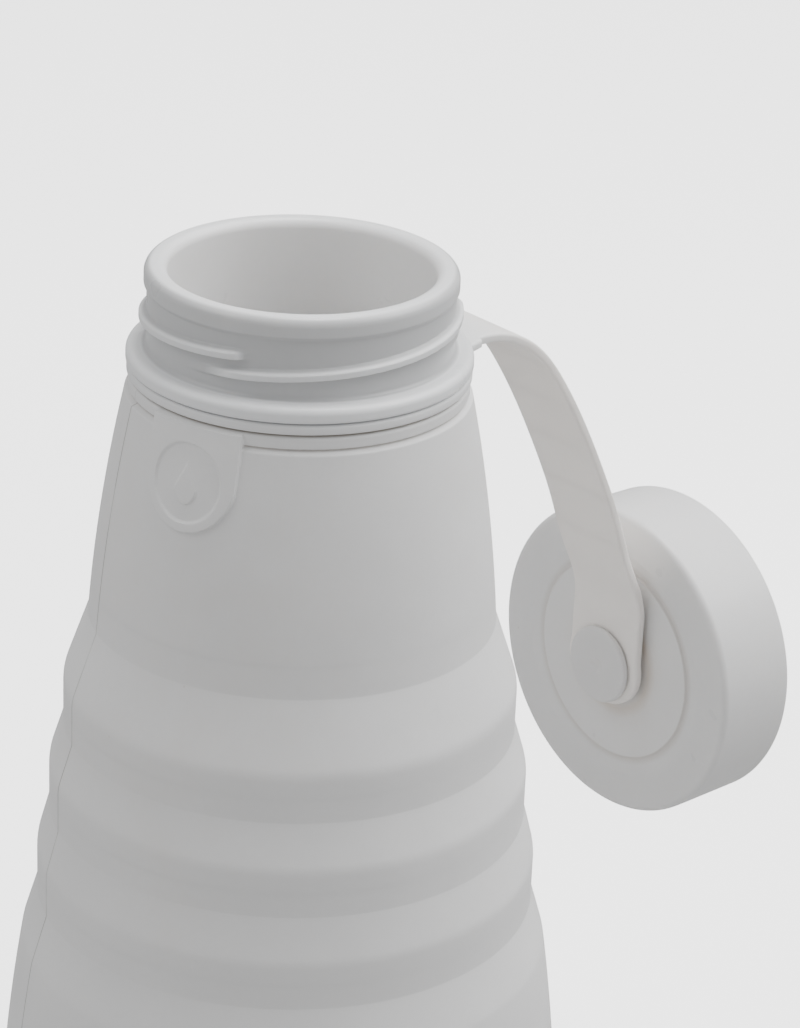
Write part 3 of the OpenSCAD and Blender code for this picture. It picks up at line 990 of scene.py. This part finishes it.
def build_stud():
    """The stud: a flat head in front of the strap, with a small dimple, on a shank into the boss."""
    shank_r = 2.55
    head_r = 6.7
    head_t = 1.25
    back = (stud_at[0] - strap_t / 2 - 0.3) - cap_face_x
    front = back - head_t
    shank_end = 6.0
    outline = rounded([
        (0, front + 0.32, 0), (0.7, front + 0.3, 0.6), (1.5, front - 0.02, 0.7),
        (head_r - 1.0, front + 0.12, 0), (head_r, front + 0.25, 0.75), (head_r, back, 0.3),
        (shank_r + 0.3, back, 0.3), (shank_r, back + 0.4, 0.3), (shank_r, shank_end - 0.6, 0.4),
        (0, shank_end, 0)], 0.12)
    piece = revolve("cap_stud_head", densify(outline, 0.4)[::-1], turns(96))
    piece.data.transform(CAP_PLACE)
    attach(piece, "cap")
    finish_piece(piece, stud_look, "stud_plastic", "cap_stud")


build_cap()
build_gasket()
build_stud()


# ---------------------------------------------------------------- floor, light and camera

LIGHT_AIM = Vector((0, 0, 0.12))


def softbox(name, turn, height, distance, size, watts):
    """A square light aimed at the bottle, placed by its turn and height in degrees. The distance and the
    size are in metres."""
    data = bpy.data.lights.new(name, "AREA")
    data.shape = "SQUARE"
    data.size = size
    data.energy = watts
    turn, height = math.radians(turn), math.radians(height)
    away = Vector((math.cos(turn) * math.cos(height), math.sin(turn) * math.cos(height),
                   math.sin(height)))
    light = bpy.data.objects.new(name, data)
    light.location = LIGHT_AIM + away * distance
    light.rotation_euler = away.to_track_quat("Z", "Y").to_euler()
    bpy.context.scene.collection.objects.link(light)


def build_floor():
    """A wide pale floor that glows like a lit paper sweep; the world stands in for what it throws back."""
    half = 6.0
    mesh = bpy.data.meshes.new("floor")
    mesh.from_pydata([(-half, -half, 0), (half, -half, 0), (half, half, 0), (-half, half, 0)], [],
                     [[0, 1, 2, 3]])
    floor = bpy.data.objects.new("floor", mesh)
    bpy.context.scene.collection.objects.link(floor)
    nodes = Nodes("floor_paper")
    tone = nodes.map_range(nodes.noise(scale=3.0, detail=2.0), (0.2, 0.8))
    nodes.surface(
        Base_Color=nodes.mix(tone, grey(0.79), grey(0.81)),
        Roughness=0.9,
        Specular_IOR_Level=0.1,
        Emission_Color=PLAIN,
        Emission_Strength=1.98)
    floor.data.materials.append(nodes.material)
    floor.visible_diffuse = False
    floor.visible_glossy = False


def build_lights():
    softbox("overhead", turn=20, height=80, distance=1.2, size=0.45, watts=9.0)
    softbox("right", turn=-39, height=48, distance=1.3, size=0.9, watts=13.5)
    softbox("rear_right", turn=6, height=48, distance=1.3, size=0.9, watts=6.5)
    softbox("left", turn=150, height=45, distance=1.3, size=0.9, watts=4.4)


def build_world():
    """Even light all round, stronger from below, where a pale floor throws it back."""
    world = bpy.data.worlds.new("studio")
    world.use_nodes = True
    tree = world.node_tree
    split = tree.nodes.new("ShaderNodeSeparateXYZ")
    tree.links.new(tree.nodes.new("ShaderNodeTexCoord").outputs["Generated"], split.inputs[0])
    level = tree.nodes.new("ShaderNodeMapRange")
    tree.links.new(split.outputs["Z"], level.inputs["Value"])
    level.inputs["From Min"].default_value = -0.3
    level.inputs["From Max"].default_value = 0.3
    level.inputs["To Min"].default_value = 0.63
    level.inputs["To Max"].default_value = 0.46
    background = tree.nodes["Background"]
    background.inputs["Color"].default_value = PLAIN
    tree.links.new(level.outputs["Result"], background.inputs["Strength"])
    bpy.context.scene.world = world


def build_camera():
    """The camera stands 0.49 m from the bottle's axis and 0.18 m above its rim, 129 degrees round from
    the strap. It looks down and a little past the axis."""
    turn = math.radians(-39.26)
    distance = 491.8
    above_rim = 177.0
    yaw, pitch, roll = (math.radians(a) for a in (1.86, 23.8, 2.42))
    ahead = Vector((math.sin(yaw) * math.cos(pitch), math.cos(yaw) * math.cos(pitch), -math.sin(pitch)))
    right = Vector((math.cos(yaw), -math.sin(yaw), 0))
    up = right.cross(ahead)
    level_right = right * math.cos(roll) + up * math.sin(roll)
    level_up = up * math.cos(roll) - right * math.sin(roll)
    spin = Matrix.Rotation(turn, 3, "Z")
    axes = Matrix([spin @ level_right, spin @ level_up, spin @ -ahead]).transposed()
    data = bpy.data.cameras.new("camera")
    data.sensor_fit = "VERTICAL"
    data.sensor_height = 36.0
    data.lens = 123.28
    camera = bpy.data.objects.new("camera", data)
    at = spin @ Vector((0, -distance, 0)) * MM
    camera.matrix_world = Matrix.Translation((at.x, at.y, (rim_z + above_rim) * MM)) @ axes.to_4x4()
    bpy.context.scene.collection.objects.link(camera)
    bpy.context.scene.camera = camera


build_floor()
build_world()
build_lights()
build_camera()
